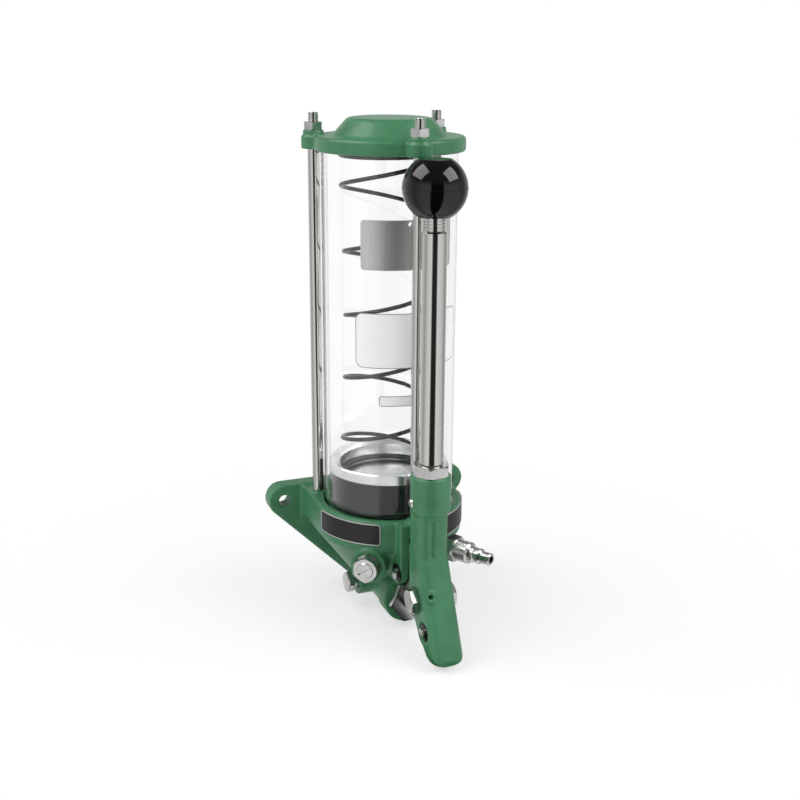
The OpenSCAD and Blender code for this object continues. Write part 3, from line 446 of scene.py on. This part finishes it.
for name, azimuths, heights, corner in (("large_sticker", (-50, 51), (114.5, 150.5), 5.0),
                                        ("small_sticker", (-29.4, 29.4), (89.2, 96.2), 1.6)):
    sticker = wrapped(name, tube_skin, azimuths, heights, corner, thickness=0.12, border=0.55)
    paint(sticker, vinyl, outline)


# The top cap: a domed iron casting with three lobes for the tie rods, in the same enamel as the body.
# It sits on the tube and the three nuts pull it down.
cap_casting = cast("top_cap", "cap_casting", voxel=0.8, passes=3)
paint(cap_casting, enamel)


# The tie rods and their nuts: cold-drawn steel, bright plated, with a rolled quarter-inch thread at each
# end. The nuts are turned and zinc plated.
def threaded(name, radius, pitch, heights, body):
    """A rod end with a real helical thread, on the Z axis, closed at both ends.

    One turn's flank is wound past both heights, and the ends are then cut off square. The flank's sizes
    are shares of the pitch.
    """
    low, high = (h * mm for h in heights)
    depth, crest_low, crest_high = 0.6, 0.42, 0.58
    root = radius - depth * pitch
    deselect()
    bpy.ops.mesh.primitive_plane_add(size=1)
    piece = bpy.context.object
    piece.name = name
    bpy.ops.object.mode_set(mode="EDIT")
    mesh = bmesh.from_edit_mesh(piece.data)
    mesh.clear()
    rise = low - pitch * mm
    corners = [mesh.verts.new((r * mm, 0, rise + z * pitch * mm))
               for r, z in ((root, 0), (radius, crest_low), (radius, crest_high), (root, 1))]
    for a, b in zip(corners, corners[1:]):
        mesh.edges.new((a, b))
    bmesh.update_edit_mesh(piece.data)
    bpy.ops.object.mode_set(mode="OBJECT")
    winding = piece.modifiers.new("winding", "SCREW")
    winding.steps = winding.render_steps = 40
    winding.screw_offset = pitch * mm
    winding.iterations = int((high - low) / (pitch * mm)) + 3
    winding.use_merge_vertices = True
    apply_all(piece)
    bpy.ops.object.mode_set(mode="EDIT")
    bpy.ops.mesh.select_all(action="SELECT")
    bpy.ops.mesh.remove_doubles(threshold=weld)
    for level, up in ((low, -1), (high, 1)):
        bpy.ops.mesh.select_all(action="SELECT")
        bpy.ops.mesh.bisect(plane_co=(0, 0, level), plane_no=(0, 0, up), use_fill=True, clear_outer=True)
    bpy.ops.mesh.select_all(action="SELECT")
    bpy.ops.mesh.normals_make_consistent(inside=False)
    bpy.ops.object.mode_set(mode="OBJECT")
    bpy.ops.object.shade_smooth_by_angle(angle=radians(28))
    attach(piece, body)
    return piece


# Bright plating on drawn steel: a mirror with faint long draw lines.
bright_steel, tree, shader = material("bright plated steel", "#d3d2cf", 0.12, 1.0)
where = put(tree, "ShaderNodeTexCoord").outputs["Object"]
drawn = put(tree, "ShaderNodeMapping", {"Vector": where, "Scale": (1.0, 1.0, 0.01)})
lines = put(tree, "ShaderNodeTexNoise", {"Vector": drawn.outputs[0], "Scale": 1 / (0.6 * mm), "Detail": 2})
dull = put(tree, "ShaderNodeMapRange", {"Value": lines.outputs["Fac"], "To Min": 0.07, "To Max": 0.2})
tree.links.new(dull.outputs[0], shader.inputs["Roughness"])

# Zinc plating: greyer, with soft clouds where the bath took unevenly.
zinc, tree, shader = material("zinc plated steel", "#c2c3c0", 0.28, 1.0)
where = put(tree, "ShaderNodeTexCoord").outputs["Object"]
cloud = put(tree, "ShaderNodeTexNoise", {"Vector": where, "Scale": 1 / (5 * mm), "Detail": 3})
tone = put(tree, "ShaderNodeValToRGB", {0: cloud.outputs["Fac"]})
tone.color_ramp.elements[0].position = 0.3
tone.color_ramp.elements[0].color = linear("#c3c4c1")
tone.color_ramp.elements[1].position = 0.75
tone.color_ramp.elements[1].color = linear("#dededc")
tree.links.new(tone.outputs[0], shader.inputs["Base Color"])
dull = put(tree, "ShaderNodeMapRange", {"Value": cloud.outputs["Fac"], "To Min": 0.14, "To Max": 0.3})
tree.links.new(dull.outputs[0], shader.inputs["Roughness"])

paint(nodes["tie_rods"], bright_steel)
paint(nodes["tie_rod_nuts"], zinc)
nut_top, rod_top = 265.6, 271.3
first_end = threaded("rod_thread_1", 3.5, 1.27, (nut_top, rod_top), "body")
paint(first_end, zinc)
ends = [first_end]
for number in (2, 3):
    deselect()
    first_end.select_set(True)
    bpy.context.view_layer.objects.active = first_end
    bpy.ops.object.duplicate()
    ends.append(bpy.context.object)
    ends[-1].name = f"rod_thread_{number}"
rod_places = ((0, -102.5), (43.3, -27.5), (-43.3, -27.5))
for end, (x, y) in zip(ends, rod_places):
    end.data.transform(Matrix.Translation((x * mm, y * mm, 0)))


# The follower: a turned aluminium dish with a moulded rubber cup seal round it, pressed down by a long
# coil of dark spring wire that stands between the dish and the cap.

# Turned aluminium: a bright grey with the lathe's fine rings, drawn 2.4 mm apart so that they show, and
# a light stain.
aluminium, tree, shader = material("turned aluminium", "#c4c5c6", 0.24, 1.0)
where = put(tree, "ShaderNodeTexCoord").outputs["Object"]
centred = put(tree, "ShaderNodeMapping", {"Vector": where, "Location": (0, -axis_y * mm, 0)})
tool_marks = put(tree, "ShaderNodeTexWave", {"Vector": centred.outputs[0], "Scale": 1 / (2.4 * mm),
                                            "Distortion": 0.4}, wave_type="RINGS", rings_direction="Z")
turned = put(tree, "ShaderNodeBump", {"Height": tool_marks.outputs["Fac"], "Strength": 0.12,
                                      "Distance": 0.04 * mm})
tree.links.new(turned.outputs[0], shader.inputs["Normal"])
stain = put(tree, "ShaderNodeTexNoise", {"Vector": where, "Scale": 1 / (9 * mm), "Detail": 3})
tone = put(tree, "ShaderNodeValToRGB", {0: stain.outputs["Fac"]})
tone.color_ramp.elements[0].color = linear("#c9cacb")
tone.color_ramp.elements[1].color = linear("#e6e6e7")
tree.links.new(tone.outputs[0], shader.inputs["Base Color"])
paint(nodes["follower_plate"], aluminium)
paint(nodes["follower_seal"], rubber)


def wire(name, points, thickness, body):
    """Round wire along a line of points, made a mesh."""
    deselect()
    bpy.ops.curve.primitive_bezier_curve_add()
    piece = bpy.context.object
    piece.name = name
    piece.data.splines.clear()
    line = piece.data.splines.new("POLY")
    line.points.add(len(points) - 1)
    for point, where in zip(line.points, points):
        point.co = (*[c * mm for c in where], 1)
    piece.data.dimensions = "3D"
    piece.data.bevel_depth = thickness / 2 * mm
    piece.data.bevel_resolution = 4
    piece.data.use_fill_caps = True
    bpy.ops.object.convert(target="MESH")
    piece = bpy.context.object
    bpy.ops.object.mode_set(mode="EDIT")
    bpy.ops.mesh.select_all(action="SELECT")
    bpy.ops.mesh.remove_doubles(threshold=weld)
    bpy.ops.mesh.normals_make_consistent(inside=False)
    bpy.ops.object.mode_set(mode="OBJECT")
    bpy.ops.object.shade_smooth_by_angle(angle=radians(50))
    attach(piece, body)
    return piece


# Oiled spring wire: nearly black, with a soft shine and thin spots where the oil has run.
spring_steel, tree, shader = material("oiled spring wire", "#232325", 0.32, 0.75)
where = put(tree, "ShaderNodeTexCoord").outputs["Object"]
oil = put(tree, "ShaderNodeTexNoise", {"Vector": where, "Scale": 1 / (4 * mm), "Detail": 3})
tone = put(tree, "ShaderNodeValToRGB", {0: oil.outputs["Fac"]})
tone.color_ramp.elements[0].color = linear("#19191a")
tone.color_ramp.elements[1].color = linear("#3a3a3c")
tree.links.new(tone.outputs[0], shader.inputs["Base Color"])

# The coil has one flat turn at each end and is a little slimmer at half its height.
wire_d, free_turns, start, seat, head_z = 2.8, 5.0, -46, 25.5, 248.4
slim_r, slim_z, half_rise, flare, most_flare = 29.4, 141, 86, 2.3, 1.2
points_a_turn = 48
coil = []
for i in range(points_a_turn * round(free_turns + 2) + 1):
    t = i / points_a_turn
    free = min(max(t - 1, 0), free_turns)
    flat_turns = min(t, 1) + max(t - 1 - free_turns, 0)
    z = seat + wire_d / 2 + wire_d * flat_turns + (head_z - seat - 3 * wire_d) * free / free_turns
    waist = ((z - slim_z) / half_rise) ** 2
    radius = slim_r + flare * min(waist, most_flare)
    angle = 2 * pi * t + radians(start)
    coil.append((radius * cos(angle), axis_y + radius * sin(angle), z))
spring = wire("follower_coil", coil, wire_d, "body")
paint(spring, spring_steel)
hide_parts("follower_spring")
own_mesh(spring)


# The lever: an iron casting forked for the link and the plunger, with a round socket for the handle,
# enamelled with the body. The fulcrum bolt and the pins are zinc plated, their clips black spring steel.
lever_casting = cast("lever", "lever_casting", voxel=0.6, passes=2)
paint(lever_casting, enamel)
for node in ("fulcrum_bolt", "fulcrum_nut", "socket_pin", "plunger_pin", "link_pin", "handle_lock_nut"):
    paint(nodes[node], zinc)
for node in ("link_pin_clips", "plunger_pin_clips"):
    paint(nodes[node], spring_steel)

# Plain machined steel: a darker grey than the plated pieces, under a thin film of oil.
plain_steel, tree, shader = material("plain machined steel", "#8d8f91", 0.36, 1.0)
where = put(tree, "ShaderNodeTexCoord").outputs["Object"]
film = put(tree, "ShaderNodeTexNoise", {"Vector": where, "Scale": 1 / (3 * mm), "Detail": 4})
tone = put(tree, "ShaderNodeValToRGB", {0: film.outputs["Fac"]})
tone.color_ramp.elements[0].color = linear("#77797b")
tone.color_ramp.elements[1].color = linear("#a0a2a4")
tree.links.new(tone.outputs[0], shader.inputs["Base Color"])
for node in ("fulcrum_link", "relief_spring", "discharge_spring"):
    paint(nodes[node], plain_steel)


# The handle: a plated steel rod, threaded at both ends, locked in the socket by a nut, with a moulded
# phenolic ball screwed on top. The mould's parting line runs round the ball's middle.
paint(nodes["handle_rod"], bright_steel)
handle_y, shoulder_z, neck_top = -126.8, 207.4, 215.5
neck = threaded("neck_thread", 6.75, 1.95, (shoulder_z, neck_top), "lever")
neck.data.transform(Matrix.Translation((0, handle_y * mm, 0)))
paint(neck, bright_steel)


def turned_piece(name, profile, body):
    """A shape of revolution about Z, from its profile of radius and height."""
    deselect()
    bpy.ops.mesh.primitive_plane_add(size=1)
    piece = bpy.context.object
    piece.name = name
    bpy.ops.object.mode_set(mode="EDIT")
    mesh = bmesh.from_edit_mesh(piece.data)
    mesh.clear()
    corners = [mesh.verts.new((r * mm, 0, z * mm)) for r, z in profile]
    for a, b in zip(corners, corners[1:]):
        mesh.edges.new((a, b))
    bmesh.update_edit_mesh(piece.data)
    bpy.ops.object.mode_set(mode="OBJECT")
    lathe = piece.modifiers.new("lathe", "SCREW")
    lathe.steps = lathe.render_steps = 96
    lathe.use_merge_vertices = True
    apply_all(piece)
    bpy.ops.object.mode_set(mode="EDIT")
    bpy.ops.mesh.select_all(action="SELECT")
    bpy.ops.mesh.remove_doubles(threshold=weld)
    bpy.ops.mesh.normals_make_consistent(inside=False)
    bpy.ops.object.mode_set(mode="OBJECT")
    bpy.ops.object.shade_smooth_by_angle(angle=radians(24))
    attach(piece, body)
    return piece


# Polished phenolic: black with a deep gloss and the faintest orange peel.
phenolic, tree, shader = material("polished black phenolic", "#050506", 0.07)
where = put(tree, "ShaderNodeTexCoord").outputs["Object"]
peel = put(tree, "ShaderNodeTexNoise", {"Vector": where, "Scale": 1 / (3 * mm), "Detail": 2})
wavy = put(tree, "ShaderNodeBump", {"Height": peel.outputs["Fac"], "Strength": 0.12, "Distance": 0.05 * mm})
tree.links.new(wavy.outputs[0], shader.inputs["Normal"])
ball_z, ball_r, flat = 232.7, 19.8, 1.1
seam_rise, seam_half_angle = 0.22, 1.4
rim_angle, arcs = -78, 60
profile = [(0, -ball_r + flat)]
for i in range(arcs + 1):
    angle = radians(rim_angle + (90 - rim_angle) * i / arcs)
    r = ball_r + (seam_rise if abs(angle) < radians(seam_half_angle) else 0)
    profile.append((r * cos(angle), max(r * sin(angle), -ball_r + flat)))
profile[-1] = (0, ball_r)
knob = turned_piece("black_ball", profile, "lever")
knob.data.transform(Matrix.Translation((0, handle_y * mm, ball_z * mm)))
paint(knob, phenolic)
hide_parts("ball_knob")


# The pump's fittings: a ground plunger in a packed gland with a hexagon nut, the relief valve with its
# slotted screw, the pipe plug, the fill nipple, and the balls and ring inside. All are turned steel.
for node in ("plunger", "relief_ball", "discharge_ball"):
    paint(nodes[node], bright_steel)
for node in ("gland_nut", "relief_valve_body", "relief_screw", "discharge_retainer", "side_plug",
             "fill_nipple"):
    paint(nodes[node], zinc)
paint(nodes["plunger_packing"], rubber)
